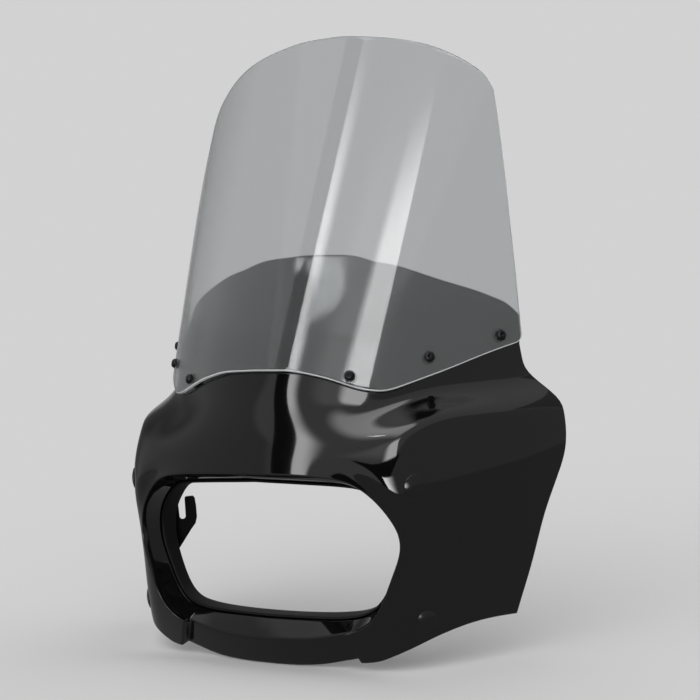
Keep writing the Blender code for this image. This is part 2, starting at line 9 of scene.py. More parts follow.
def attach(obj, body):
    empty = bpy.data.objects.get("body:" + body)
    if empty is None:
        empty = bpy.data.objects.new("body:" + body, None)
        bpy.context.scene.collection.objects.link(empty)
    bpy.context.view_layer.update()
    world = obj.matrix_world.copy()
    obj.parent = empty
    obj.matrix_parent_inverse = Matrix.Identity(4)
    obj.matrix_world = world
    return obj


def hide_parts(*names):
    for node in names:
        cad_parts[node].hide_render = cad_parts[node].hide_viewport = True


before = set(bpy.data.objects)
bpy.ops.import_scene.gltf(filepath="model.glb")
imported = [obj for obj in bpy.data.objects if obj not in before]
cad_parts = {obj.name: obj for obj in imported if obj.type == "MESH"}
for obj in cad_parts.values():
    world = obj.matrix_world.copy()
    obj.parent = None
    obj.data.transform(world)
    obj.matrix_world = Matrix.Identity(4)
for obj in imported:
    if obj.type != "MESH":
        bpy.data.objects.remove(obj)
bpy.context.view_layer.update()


# Fairing shell
# One thin moulding of gloss black ABS: a rounded nose round the headlight
# opening, wings swept back on both sides, and a raised seat for the windshield.
# The opening has a stepped bezel, and the chin below it lies a little deeper.

MM = 0.001
# Every form is drawn in millimetres from the middle of the opening's top edge
MIDDLE = np.array([0.0, -129.4335, 205.6146])

SHELL_WALL = 3.5
WINDSHIELD_WALL = 4.0
SEAT_GAP = 2.4
RAKE = math.radians(26.7)
FOOT_Y = 43.0
FOOT_Z = 104.4
FOOT_BEND = 258.0
TOP_BEND = 335.0
WINDSHIELD_HEIGHT = 395.0

# Plan sections at these heights: place of the nose, bend of the front, and where the corner starts, how
# long it runs and how many degrees it turns
SECTION_Z = [-215, -170, -85, 0, 45, 100]
NOSE_Y = [10, 1, -3, 0, 16, 42]
FRONT_RADIUS = [500, 500, 500, 490, 400, 300]
CORNER_START = [148, 148, 148, 152, 150, 150]
CORNER_LENGTH = [60, 60, 56, 60, 80, 110]
CORNER_TURN = [27, 27, 27, 27, 22, 16]
WING_RADIUS = 520.0

# Above a crease the windshield's seat leans back from the sheet, and a shoulder leads up to it; crease,
# lean and shoulder change with the distance from the middle
SEAT_STRETCH = 0.86
LEAN = 0.62
LEAN_START = 14.0
LEAN_FADE = [(0, 1.0), (134, 0.76), (236, 0.55), (330, 0.42), (400, 0.35)]
CREASE_Z = [(0, 131), (100, 125), (190, 118), (240, 119), (305, 128), (400, 140)]
SHOULDER_FOOT_Z = [(0, 10), (80, 8), (150, 18), (210, 40), (280, 38), (350, 34), (420, 32)]
SHOULDER_TOP_Z = [(0, 100), (80, 90), (120, 78), (163, 68), (210, 74), (280, 84), (350, 91), (420, 96)]

# Edges of the right half as (walk from the middle, height); the rear one as (depth, height)
OPENING_EDGE = [(0, 1), (44, 0.6), (80, -1), (112, -4.5), (128, -8.5), (147, -19.5), (161.5, -33.5),
                (173, -49), (179, -62), (180.3, -74), (177.5, -87), (171, -102), (162, -121), (152, -139.5),
                (140, -153), (124, -162.3), (100, -168.5), (69, -173.2), (38, -175.7), (0, -176.5)]
TOP_EDGE = [(0, 217.5), (42, 216.2), (85, 211.9), (107, 206.5), (135, 201.4), (170, 192.4), (204, 182.5),
            (237, 173.4), (264, 165.6), (288, 157.6), (304, 151.5), (316, 145), (326.5, 137), (332, 126)]
REAR_EDGE_SIDE = [(204, 108), (204, 88), (207, 75), (209.5, 65), (210.5, 55), (210, 44), (208, 31.5),
                  (205, 14), (201, -3), (188, -30), (168, -68), (150, -114), (136, -148), (130, -164)]
WING_FOOT = [(263, -163.4), (228, -168), (192, -178), (157, -191), (143, -195.5), (123, -197.5)]
CHIN_FOOT = [(121.5, -195.8), (102, -199.4), (82, -203.2), (60, -206), (35, -207.2), (0, -207.5)]
CHIN_RECESS = 8.5
CHIN_DROP = 3.2
CHIN_LEDGE = 0.8
CHIN_LEDGE_BACK = 2.1
CHIN_STEP_WIDTH = 18.0

# How far loops of the bezel lie inside the opening's edge, round it from the top to the foot; a value
# that ends in BACK says how much deeper the loop behind the wall lies
ROUND_OPENING = [0, 0.25, 0.38, 0.5, 0.62, 0.76, 0.88, 1]
EDGE_DIP = [0, 1.5, 4.8, 0.5, 0, 0, 0, 0]
DIP_WIDTH = 26.0
STEP_INSET = [4.8, 4.4, 2.2, 3.0, 2.4, 1.2, 0.8, 0.8]
BAND_INSET = [10, 10.5, 6.5, 5, 8.8, 10.4, 16, 17.4]
STEP_DEPTH = 6.0
STEP_BACK = 1.5
BAND_DEPTH = 24.0
BAND_BACK = 1.6
FLANGE_DEPTH = 34.0
FLANGE_INSET = 1.4

# Where the parts of the outer edge end, as fractions of the way round the opening
ENDS = {"top": 0.44, "rear": 0.585, "wing_foot": 0.755, "step": 0.76, "chin": 1.0}
COLUMNS = {"top": 88, "rear": 52, "wing_foot": 38, "step": 9, "chin": 34}
SKIN_ROWS = 62
BACK_ROWS = 30
CROWDING = 0.45


def smooth(t):
    """Rises from 0 to 1 as 6t^5 - 15t^4 + 10t^3, with no kink at either end."""
    t = np.clip(t, 0.0, 1.0)
    return t * t * t * (t * (6.0 * t - 15.0) + 10.0)


def curve(xs, ys):
    """Natural cubic spline: its second derivatives solve the usual three-term equations."""
    xs = np.array(xs, float)
    ys = np.array(ys, float)
    count = len(xs)
    step = np.diff(xs)
    matrix = np.eye(count)
    right = np.zeros(count)
    for i in range(1, count - 1):
        matrix[i, i - 1:i + 2] = step[i - 1], 2 * (step[i - 1] + step[i]), step[i]
        right[i] = 6 * ((ys[i + 1] - ys[i]) / step[i] - (ys[i] - ys[i - 1]) / step[i - 1])
    bend = np.linalg.solve(matrix, right)

    def value(x):
        """The cubic between the two given points beside x, from their second derivatives."""
        x = np.clip(np.asarray(x, float), xs[0], xs[-1])
        i = np.clip(np.searchsorted(xs, x) - 1, 0, count - 2)
        after = x - xs[i]
        before = xs[i + 1] - x
        cubic = (bend[i] * before ** 3 + bend[i + 1] * after ** 3) / (6 * step[i])
        line = (ys[i] / step[i] - bend[i] * step[i] / 6) * before
        return cubic + line + (ys[i + 1] / step[i] - bend[i + 1] * step[i] / 6) * after

    return value


def curve_through(points):
    """The same spline through a list of points."""
    return curve([p[0] for p in points], [p[1] for p in points])


def line_through(points):
    """Spline through flat points, read by the share of the summed distances between them."""
    points = np.array(points, float)
    run = np.concatenate([[0], np.cumsum(np.hypot(*np.diff(points, axis=0).T))])
    first, second = curve(run, points[:, 0]), curve(run, points[:, 1])
    return lambda share: np.stack([first(share * run[-1]), second(share * run[-1])], -1)


def along(points, count):
    """That many points at equal steps on the spline through the given ones."""
    return line_through(points)(np.linspace(0.0, 1.0, count))


def sheet_point(across, up, inward=0.0):
    """Raked cone: an arc of the bend radius at that height, tipped back by the rake, less inward."""
    radius = FOOT_BEND + (TOP_BEND - FOOT_BEND) * up / WINDSHIELD_HEIGHT
    drop = radius - (radius - inward) * np.cos(across / radius)
    x = (radius - inward) * np.sin(across / radius)
    y = FOOT_Y + up * math.sin(RAKE) + drop * math.cos(RAKE)
    z = FOOT_Z + up * math.cos(RAKE) - drop * math.sin(RAKE)
    return np.stack([x, y, z], -1)


def sheet_at_height(across, z, inward):
    """The same cone, with the distance up the sheet solved from the height by repeated substitution."""
    up = z - FOOT_Z
    for _ in range(8):
        radius = FOOT_BEND + (TOP_BEND - FOOT_BEND) * up / WINDSHIELD_HEIGHT
        drop = radius - (radius - inward) * np.cos(across / radius)
        up = (z - FOOT_Z + drop * math.sin(RAKE)) / math.cos(RAKE)
    return sheet_point(across, up, inward)


section_nose = curve(SECTION_Z, NOSE_Y)
section_front = curve(SECTION_Z, FRONT_RADIUS)
section_corner = curve(SECTION_Z, CORNER_START)
section_length = curve(SECTION_Z, CORNER_LENGTH)
section_turn = curve(SECTION_Z, CORNER_TURN)
lean_fade = curve_through(LEAN_FADE)
crease_z = curve_through(CREASE_Z)
shoulder_foot = curve_through(SHOULDER_FOOT_Z)
shoulder_top = curve_through(SHOULDER_TOP_Z)
sample_at, sample_weight = np.polynomial.legendre.leggauss(40)


def body_point(away, z):
    """Plan section: x and y are the integrals of cos and sin of the turn walked so far, summed over
    40 weighted samples."""
    start = section_corner(z)[..., None]
    length = section_length(z)[..., None]
    middle = start + length / 2
    walk = away[..., None] * (sample_at + 1) / 2
    turn = np.minimum(walk, middle) / section_front(z)[..., None]
    turn += np.radians(section_turn(z))[..., None] * smooth((walk - start) / length)
    turn += np.maximum(walk - middle, 0.0) / WING_RADIUS
    x = (np.cos(turn) * sample_weight).sum(-1) * away / 2
    y = (np.sin(turn) * sample_weight).sum(-1) * away / 2
    return x, y + section_nose(z)


def skin(s, z):
    """Outer face: the plan section below, blended over the shoulder into the leaning windshield seat."""
    s, z = np.broadcast_arrays(np.asarray(s, float), np.asarray(z, float))
    away = np.abs(s)
    lower_x, lower_y = body_point(away, z)
    seat = sheet_at_height(away * SEAT_STRETCH, z, WINDSHIELD_WALL + SEAT_GAP)
    above = z - crease_z(away)
    bent = np.clip(above, 0.0, LEAN_START)
    lean = LEAN * lean_fade(away) * (bent * bent / (2 * LEAN_START) + np.maximum(above - LEAN_START, 0.0))
    part = smooth((z - shoulder_foot(away)) / (shoulder_top(away) - shoulder_foot(away)))
    x = np.sign(s) * (lower_x * (1 - part) + seat[..., 0] * part)
    y = lower_y * (1 - part) + (seat[..., 1] + lean) * part
    return np.stack([x, y, z], -1)


def skin_below(s, z, depth):
    """Point at that depth under the skin, along the cross product of its two slopes."""
    tiny = 0.25
    sideways = skin(s + tiny, z) - skin(s - tiny, z)
    upward = skin(s, z + tiny) - skin(s, z - tiny)
    out = np.cross(sideways, upward)
    out /= np.linalg.norm(out, axis=-1, keepdims=True)
    return skin(s, z) - out * np.asarray(depth)[..., None]


def rear_edge():
    """Rear edge drawn in side view; the walk that reaches each y is found by steps of error over slope."""
    y, z = np.array(REAR_EDGE_SIDE, float).T
    s = np.full(len(y), float(CORNER_START[0] + CORNER_LENGTH[0]))
    for _ in range(12):
        s += (y - skin(s, z)[:, 1]) / (skin(s + 0.5, z) - skin(s - 0.5, z))[:, 1]
    return list(zip(s, z))


def outer_edge():
    """Points on the shell's outer edge, one for each place round the opening, on the right half."""
    rear = rear_edge()
    return np.concatenate([along(TOP_EDGE + rear[:1], COLUMNS["top"] + 1)[:-1],
                           along(rear, COLUMNS["rear"] + 1)[:-1],
                           along(rear[-1:] + WING_FOOT, COLUMNS["wing_foot"] + 1)[:-1],
                           np.linspace(WING_FOOT[-1], CHIN_FOOT[0], COLUMNS["step"] + 1)[:-1],
                           along(CHIN_FOOT, COLUMNS["chin"] + 1)])


def places_round():
    """Shares of the way round the opening's edge, from its top middle to its foot."""
    places, start = [0.0], 0.0
    for part, end in ENDS.items():
        places += list(np.linspace(start, end, COLUMNS[part] + 1)[1:])
        start = end
    return np.array(places)


def all_round(half):
    """Full ring from the right half, whose first and last entries lie in the middle."""
    mirrored = half[-2:0:-1].copy()
    if mirrored.ndim > 1:
        mirrored[..., 0] *= -1
    return np.concatenate([half, mirrored])


opening = line_through(OPENING_EDGE)
share = places_round()
inner = opening(share)
inner_run = np.concatenate([[0], np.cumsum(np.hypot(*np.diff(inner, axis=0).T))])
step_from, step_to = np.interp([ENDS["wing_foot"], ENDS["step"]], share, inner_run)
half_chin = smooth((inner_run - step_from) / (step_to - step_from))
half_dip = np.maximum(curve(ROUND_OPENING, EDGE_DIP)(share), 0.0)
lip = skin_below(*inner.T, half_dip)

from_step = all_round(np.abs(inner_run - (step_from + step_to) / 2))
chin_part = all_round(half_chin)
dip = all_round(half_dip)
edge_in = all_round(inner - np.outer(half_chin, (0.0, CHIN_DROP)))
edge_out = all_round(outer_edge())


def lip_inward():
    """Unit directions square to the opening's edge as seen from the front: its run turned by a right angle."""
    run = skin(*opening(share + 0.002).T) - skin(*opening(share - 0.002).T)
    run[[0, -1], 2] = 0.0
    inward = np.stack([run[:, 2], np.zeros(len(run)), -run[:, 0]], -1)
    return inward / np.linalg.norm(inward, axis=1, keepdims=True)


def bezel(insets, extra, depth, chin_extra=0.0):
    """Loop inside the opening: its edge drawn in by the insets and the extra, and set back by depth."""
    half = lip + lip_inward() * (curve(ROUND_OPENING, insets)(share) + extra)[:, None]
    half[:, 1] += depth + chin_extra * half_chin
    return all_round(half)


def rounded(rows, radii, steps=5):
    """Rows of a section that runs round, each corner with a radius swapped for a short parabola."""
    result = []
    for k, row in enumerate(rows):
        if not radii[k]:
            result.append(row)
            continue
        before = rows[k - 1] - row
        after = rows[(k + 1) % len(rows)] - row
        start = row + before * (radii[k] / np.linalg.norm(before, axis=-1, keepdims=True))
        end = row + after * (radii[k] / np.linalg.norm(after, axis=-1, keepdims=True))
        for t in np.linspace(0.0, 1.0, steps):
            result.append((1 - t) ** 2 * start + 2 * t * (1 - t) * row + t * t * end)
    return np.stack(result)


def mesh_piece(name, parts, look, slot, *nodes):
    """One piece from parts (points, faces), turned so that each volume is positive, with its poles merged."""
    verts, quads, base = [], [], 0
    for points, faces in parts:
        points = (np.asarray(points, float).reshape(-1, 3) + MIDDLE) * MM
        faces = np.asarray(faces)
        a, b, c, d = (points[faces[:, i]] for i in range(4))
        volume = (np.cross(a, b) * c).sum() + (np.cross(a, c) * d).sum()
        verts.append(points)
        quads.append((faces if volume > 0 else faces[:, ::-1]) + base)
        base += len(points)
    mesh = bpy.data.meshes.new(name)
    mesh.from_pydata(np.concatenate(verts).tolist(), [], np.concatenate(quads).tolist())
    work = bmesh.new()
    work.from_mesh(mesh)
    bmesh.ops.remove_doubles(work, verts=work.verts, dist=1e-6)
    work.to_mesh(mesh)
    work.free()
    mesh.polygons.foreach_set("use_smooth", [True] * len(mesh.polygons))
    mesh.materials.append(look)
    made = bpy.data.objects.new(name, mesh)
    bpy.context.scene.collection.objects.link(made)
    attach(made, "root")
    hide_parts(*nodes)
    return made


def ring_part(rows):
    """Closed ring: the section runs round the rows and each row runs round the columns."""
    count, columns = rows.shape[:2]
    r, c = np.meshgrid(np.arange(count), np.arange(columns), indexing="ij")
    up = (r + 1) % count
    side = (c + 1) % columns
    faces = np.stack([r * columns + c, r * columns + side, up * columns + side, up * columns + c], -1)
    return rows, faces.reshape(-1, 4)


def linear(hex_colour):
    """sRGB hex to linear: (c + 0.055) / 1.055 to the power 2.4, or c / 12.92 when dark."""
    parts = [int(hex_colour[i:i + 2], 16) / 255 for i in (1, 3, 5)]
    return [((c + 0.055) / 1.055) ** 2.4 if c > 0.04045 else c / 12.92 for c in parts] + [1.0]


def add_node(look, kind, links=None, **settings):
    """Adds a node; settings are attributes or input values, and links give (node, output) per input."""
    node = look.node_tree.nodes.new(kind)
    for key, value in settings.items():
        if hasattr(node, key):
            setattr(node, key, value)
        else:
            node.inputs[key.replace("_", " ")].default_value = value
    for key, (source, output) in (links or {}).items():
        look.node_tree.links.new(source.outputs[output], node.inputs[key])
    return node


def new_material(name):
    """A material and the shader that it starts with."""
    look = bpy.data.materials.new(name)
    look.use_nodes = True
    return look, look.node_tree.nodes["Principled BSDF"]


# Gloss black ABS, moulded in a polished tool: deep black with mirror-like
# reflections, a little wavy because the thick skin shrinks unevenly.
gloss_black_abs, shader = new_material("gloss_black_abs")
shader.inputs["Base Color"].default_value = linear("#0b0b0c")
shader.inputs["Roughness"].default_value = 0.05
shader.inputs["IOR"].default_value = 1.52
place = add_node(gloss_black_abs, "ShaderNodeTexCoord")
waves = add_node(gloss_black_abs, "ShaderNodeTexNoise", {"Vector": (place, "Object")}, Scale=9.0, Detail=1.0)
bump = add_node(gloss_black_abs, "ShaderNodeBump", {"Height": (waves, "Fac")}, Strength=1.0, Distance=0.0004)
gloss_black_abs.node_tree.links.new(bump.outputs["Normal"], shader.inputs["Normal"])

# The way from the opening's edge to the outer edge, and its length
reach = edge_out - edge_in
far = np.linalg.norm(reach, axis=1, keepdims=True)


def skin_rows(wall, first_mm, last_mm, count):
    """Rows between the two edges, at that depth, spread partly by a cosine so that they crowd near both."""
    at = (1 - np.cos(np.linspace(0.0, math.pi, count))) / 2
    at = CROWDING * at + (1 - CROWDING) * np.linspace(0.0, 1.0, count)
    widen = wall * smooth(1 - from_step / CHIN_STEP_WIDTH) * np.sign(edge_in[:, 0])
    recess = CHIN_RECESS * chin_part + wall
    rows = []
    for t in at:
        away = first_mm * (1 - t) + t * (far - last_mm)
        spot = edge_in + reach * away / far
        dipped = dip * smooth(1 - away[:, 0] / DIP_WIDTH)
        rows.append(skin_below(spot[:, 0] + widen, spot[:, 1], recess + dipped))
    return rows


# The section runs from the flange out over the bezel and the front, and back behind them
front_edges = skin_rows(0.0, 0.0, 0.0, 2)
back_edges = skin_rows(SHELL_WALL, SHELL_WALL + 1.0, 0.0, 2)
chin_step = CHIN_RECESS + CHIN_LEDGE - STEP_DEPTH
shell_rows = [bezel(BAND_INSET, FLANGE_INSET, FLANGE_DEPTH), bezel(BAND_INSET, 0.0, BAND_DEPTH),
              bezel(STEP_INSET, 0.0, STEP_DEPTH, chin_step), front_edges[0]]
shell_radii = [1.2, 1.2, 0.9, 1.1]
skin_part = skin_rows(0.0, 2.5, 2.2, SKIN_ROWS)
back_part = skin_rows(SHELL_WALL, SHELL_WALL + 3.0, 2.2, BACK_ROWS)[::-1]
shell_rows += skin_part + [front_edges[1], back_edges[1]] + back_part
shell_radii += [0.0] * SKIN_ROWS + [1.3, 1.3] + [0.0] * BACK_ROWS
shell_rows += [back_edges[0],
               bezel(STEP_INSET, 0.3 - SHELL_WALL, STEP_DEPTH + STEP_BACK, chin_step + CHIN_LEDGE_BACK),
               bezel(BAND_INSET, -SHELL_WALL, BAND_DEPTH + BAND_BACK),
               bezel(BAND_INSET, FLANGE_INSET - SHELL_WALL, FLANGE_DEPTH)]
shell_radii += [1.0, 0.8, 1.5, 1.2]
mesh_piece("shell", [ring_part(rounded(shell_rows, shell_radii))], gloss_black_abs, "shell_plastic",
           "fairing_shell")


# Opening trim
# A channel of black rubber pushed over the flange in the headlight opening.
# It cushions the lamp's rim, and is extruded with a fine matt grain.

TRIM_INSET = [15, 15.5, 16.5, 14, 14, 16.5, 21, 22.4]
TRIM_DEPTH = 42.0
NODE_GAP = 0.4
TRIM_SECTION = [(BAND_INSET, 1.0 + NODE_GAP, BAND_DEPTH + BAND_BACK), (BAND_INSET, 3.6, BAND_DEPTH + 2.2),
                (TRIM_INSET, 0.0, TRIM_DEPTH), (BAND_INSET, -3.0, TRIM_DEPTH),
                (BAND_INSET, -5.6, TRIM_DEPTH - 4.0), (BAND_INSET, -6.4, BAND_DEPTH + 6.0),
                (BAND_INSET, -4.2, BAND_DEPTH + 6.0), (BAND_INSET, -2.7, FLANGE_DEPTH + 1.0),
                (BAND_INSET, FLANGE_INSET + NODE_GAP, FLANGE_DEPTH + 1.0)]
TRIM_RADII = [0.5, 0.9, 2.0, 1.0, 1.0, 0.6, 0.5, 0.3, 0.3]

# Moulded black rubber: dull, with a grain of about a millimetre.
black_rubber, shader = new_material("black_rubber")
shader.inputs["Base Color"].default_value = linear("#0e0e0e")
shader.inputs["Roughness"].default_value = 0.55
shader.inputs["Specular IOR Level"].default_value = 0.15
shader.inputs["IOR"].default_value = 1.52
place = add_node(black_rubber, "ShaderNodeTexCoord")
grain = add_node(black_rubber, "ShaderNodeTexNoise", {"Vector": (place, "Object")}, Scale=900.0, Detail=2.0)
bump = add_node(black_rubber, "ShaderNodeBump", {"Height": (grain, "Fac")}, Strength=0.35, Distance=0.0004)
black_rubber.node_tree.links.new(bump.outputs["Normal"], shader.inputs["Normal"])

trim_rows = rounded([bezel(*corner) for corner in TRIM_SECTION], TRIM_RADII, 6)
mesh_piece("trim", [ring_part(trim_rows)], black_rubber, "black_rubber", "opening_edge_trim")


# Windshield
# A tall sheet of clear acrylic, cut out, flame-polished along the edge and
# bent hot. It sits on the front of the shell and is screwed on along its foot.

WINDSHIELD_FOOT = [(0, 0), (22, 0), (48, 0), (66.5, -2), (92, -5.7), (117, -10.5), (140, -11.4),
                   (151, -9.5), (165, -3), (184, 8.5), (214, 27.5), (243, 47.5), (268, 64), (283, 73.5)]
WINDSHIELD_SIDE = [(283, 73.5), (286.5, 79), (285, 88), (280, 104), (270, 138), (252, 200), (233, 269),
                   (219, 317), (212, 340)]
WINDSHIELD_TOP = [(0, 395), (28, 395), (54, 393), (94, 389.5), (125, 385), (158, 376), (184, 365),
                  (200, 355), (212, 340)]
EDGE_RADIUS = 0.9
SHEET_COLUMNS = 150
SHEET_ROWS = 96

# Clear acrylic (PMMA, IOR 1.49), cast and polished: faintly grey, with a slight haze from handling.
clear_acrylic, shader = new_material("clear_acrylic")
shader.inputs["Base Color"].default_value = linear("#cbcdce")
shader.inputs["Roughness"].default_value = 0.03
shader.inputs["IOR"].default_value = 1.49
shader.inputs["Transmission Weight"].default_value = 0.92

# The same acrylic where it was cut and polished. Its near-white colour is painted light: it stands in for the
# light that gathers in the sheet and leaves at its edge.
edge_with_painted_glow, shader = new_material("acrylic_edge_painted_glow")
shader.inputs["Base Color"].default_value = linear("#f4f6f7")
shader.inputs["Roughness"].default_value = 0.12
shader.inputs["IOR"].default_value = 1.49
shader.inputs["Transmission Weight"].default_value = 0.25


def sheet_grid(columns, rows):
    """Patch between four edges: both pairs of opposite edges are blended, less the blend of the corners."""
    half = columns // 2
    mirror = np.array([-1.0, 1.0])
    low = along(WINDSHIELD_FOOT, half + 1)
    high = along(WINDSHIELD_TOP, half + 1)
    low = np.concatenate([low[:0:-1] * mirror, low])
    high = np.concatenate([high[:0:-1] * mirror, high])
    right = along(WINDSHIELD_SIDE, rows + 1)
    left = right * mirror
    u = np.linspace(0, 1, 2 * half + 1)[None, :, None]
    v = np.linspace(0, 1, rows + 1)[:, None, None]
    grid = (1 - v) * low[None] + v * high[None] + (1 - u) * left[:, None] + u * right[:, None]
    return grid - (1 - v) * ((1 - u) * low[0] + u * low[-1]) - v * ((1 - u) * high[0] + u * high[-1])


def sheet_part():
    """Front and back grids joined by loops that follow the rounded edge of the sheet."""
    flat = sheet_grid(SHEET_COLUMNS, SHEET_ROWS)
    rows, columns = flat.shape[:2]
    number = np.arange(rows * columns).reshape(rows, columns)
    rim = np.concatenate([number[0, :-1], number[:-1, -1], number[-1, :0:-1], number[:0:-1, 0]])
    line = flat.reshape(-1, 2)[rim]
    run = np.roll(line, -1, axis=0) - np.roll(line, 1, axis=0)
    out = np.stack([run[:, 1], -run[:, 0]], -1) / np.linalg.norm(run, axis=1, keepdims=True)
    flat.reshape(-1, 2)[rim] -= out * EDGE_RADIUS
    turn = np.radians([30, 60, 90])
    profile = [(EDGE_RADIUS * (math.sin(t) - 1), EDGE_RADIUS * (1 - math.cos(t))) for t in turn]
    profile += [(offset, WINDSHIELD_WALL - depth) for offset, depth in profile[::-1]]
    loops = [sheet_point(*(line + out * offset).T, depth) for offset, depth in profile]
    front = sheet_point(flat[..., 0], flat[..., 1]).reshape(-1, 3)
    back = sheet_point(flat[..., 0], flat[..., 1], WINDSHIELD_WALL).reshape(-1, 3)
    points = np.concatenate([front, back] + loops)
    quad = np.stack([number[:-1, :-1], number[:-1, 1:], number[1:, 1:], number[1:, :-1]], -1).reshape(-1, 4)
    faces = [quad, quad[:, ::-1] + len(front)]
    around = len(rim)
    lines = [rim] + [2 * len(front) + k * around + np.arange(around) for k in range(len(loops))]
    lines.append(rim + len(front))
    for first, second in zip(lines, lines[1:]):
        faces.append(np.stack([first, second, np.roll(second, -1), np.roll(first, -1)], -1))
    return points, np.concatenate(faces)


sheet = mesh_piece("windshield_sheet", [sheet_part()], clear_acrylic, "clear_acrylic", "windshield")
# The rim takes the acrylic whose near-white colour is a painted glow
sheet.data.materials.append(edge_with_painted_glow)
# The front and back faces come first in the mesh, and the rim after them
on_rim = np.arange(len(sheet.data.polygons)) >= 2 * SHEET_COLUMNS * SHEET_ROWS
sheet.data.polygons.foreach_set("material_index", on_rim.astype(np.int32))


# Windshield fixings
# Six black button-head screws with a hexagon socket, each on a nylon washer.
# They pull up rubber well nuts that bulge behind the shell and hold the sheet
# a little off it.

# Across and up the sheet
SCREW_SPOTS = [(112, 0), (190, 34), (262, 75)]
SCREW_SIDES = 48
SCREW_SHANK = 2.5
SCREW_LENGTH = 24.0
# Radius and height over the head's seat, from its rim over the dome into the socket; 1 makes it six-sided
SCREW_HEAD = [(5.2, 0.0), (5.25, 0.5), (5.1, 1.1), (4.7, 1.8), (4.1, 2.45), (3.4, 2.9), (2.75, 3.15),
              (2.35, 3.2), (2.2, 3.05, 1.0), (2.15, 1.3, 1.0), (0.0, 1.0)]
WASHER_BORE = 3.0
WASHER_RADIUS = 5.9
WASHER_HEIGHT = 1.2
WELL_NUT_BORE = 3.0
WELL_NUT_RADIUS = 4.6
WELL_NUT_BULGE = 6.1
WELL_NUT_FLANGE = 8.0
WELL_NUT_BEYOND = 10.0
# Gap over the well nut's flange, and the gaps over and under it together
WELL_NUT_GAPS = (0.65, 1.3)

# Black zinc-plated steel: dark, with a satin metal shine.
black_zinc_steel, shader = new_material("black_zinc_steel")
shader.inputs["Base Color"].default_value = linear("#2c2c2e")
shader.inputs["Metallic"].default_value = 0.9
shader.inputs["Roughness"].default_value = 0.28

# Black nylon, moulded: dull, with a slight sheen at the rim.
black_nylon, shader = new_material("black_nylon")
shader.inputs["Base Color"].default_value = linear("#141414")
shader.inputs["Roughness"].default_value = 0.4


def turned_part(centre, axis, profile, sides=SCREW_SIDES):
    """Profile of (radius, distance, hexagon share) turned round an axis; the ends close on the axis."""
    axis = np.asarray(axis, float) / np.linalg.norm(axis)
    side = np.cross(axis, (0.0, 0.0, 1.0))
    side /= np.linalg.norm(side)
    up = np.cross(side, axis)
    angle = np.arange(sides) * 2 * math.pi / sides
    ring = np.cos(angle)[:, None] * side + np.sin(angle)[:, None] * up
    flats = math.cos(math.pi / 6) / np.cos(angle % (math.pi / 3) - math.pi / 6)
    rows = []
    for point in profile:
        radius, height, hexagon = (tuple(point) + (0.0,))[:3]
        wide = radius * (1 - hexagon + hexagon * flats)
        rows.append(np.asarray(centre) + axis * height + ring * wide[:, None])
    return ring_part(np.stack(rows))


def softened(profile, radius, steps=4):
    """Profile with every corner swapped for a short parabola, at most a third of its shorter side."""
    result = []
    points = [np.array((tuple(p) + (0.0,))[:3], float) for p in profile]
    for k, point in enumerate(points):
        before = points[k - 1] - point
        after = points[(k + 1) % len(points)] - point
        cut = min(radius, np.linalg.norm(before) / 3, np.linalg.norm(after) / 3)
        start = point + before * cut / np.linalg.norm(before)
        end = point + after * cut / np.linalg.norm(after)
        for t in np.linspace(0.0, 1.0, steps):
            result.append(tuple((1 - t) ** 2 * start + 2 * t * (1 - t) * point + t * t * end))
    return result


def sleeve(bore, radius, foot, top):
    """Section of a tube between two heights, from the bore at its foot round to the bore at its top."""
    return [(bore, foot), (radius, foot), (radius, top), (bore, top)]


def sheet_out(across, up):
    """Direction square to the sheet, from the cross product of its two slopes."""
    sideways = sheet_point(across + 0.5, up) - sheet_point(across - 0.5, up)
    upward = sheet_point(across, up + 0.5) - sheet_point(across, up - 0.5)
    out = np.cross(sideways, upward)
    return out / np.linalg.norm(out)


# Heights over the sheet's face: of the screw head's seat, the well nut's top, its flange's underside, the
# shell's back and the well nut's foot
head_seat = WASHER_HEIGHT + 2 * NODE_GAP
nut_top = -WINDSHIELD_WALL - WELL_NUT_GAPS[0]
nut_flange = nut_top - (SEAT_GAP - WELL_NUT_GAPS[1])
shell_back = -WINDSHIELD_WALL - SEAT_GAP - SHELL_WALL
nut_foot = shell_back - WELL_NUT_BEYOND
screw_profile = [(0.0, -SCREW_LENGTH), (SCREW_SHANK, -SCREW_LENGTH), (SCREW_SHANK, head_seat)]
screw_profile += [(radius, head_seat + height, *hexagon) for radius, height, *hexagon in SCREW_HEAD]
washer_profile = softened(sleeve(WASHER_BORE, WASHER_RADIUS, NODE_GAP, head_seat - NODE_GAP), 0.3)
well_nut_profile = softened([(WELL_NUT_BORE, nut_foot), (WELL_NUT_RADIUS, nut_foot),
                             (WELL_NUT_BULGE, shell_back - 8.0), (WELL_NUT_BULGE, shell_back - 2.6),
                             (WELL_NUT_RADIUS, shell_back - 1.6), (WELL_NUT_RADIUS, nut_flange),
                             (WELL_NUT_FLANGE, nut_flange), (WELL_NUT_FLANGE, nut_top),
                             (WELL_NUT_BORE, nut_top)], 0.8)
for side, sign in (("left", -1), ("right", 1)):
    for number, (across, up) in enumerate(SCREW_SPOTS, 1):
        spot = sheet_point(sign * across, up)
        out = sheet_out(sign * across, up)
        tag = f"{side}_{number}"
        mesh_piece(f"screw_{tag}", [turned_part(spot, out, screw_profile)], black_zinc_steel, "bolt_steel",
                   f"windshield_screw_{tag}")
        mesh_piece(f"washer_{tag}", [turned_part(spot, out, washer_profile)], black_nylon, "black_nylon",
                   f"windshield_washer_{tag}")
        mesh_piece(f"rubber_nut_{tag}", [turned_part(spot, out, well_nut_profile)], black_rubber,
                   "black_rubber", f"well_nut_{tag}")


# Mounting plates
# A steel strip inside each wing carries the fairing on the fork. A hooked web
# is welded to it, and two round-headed bolts hold it to the wing through
# rubber spacers.

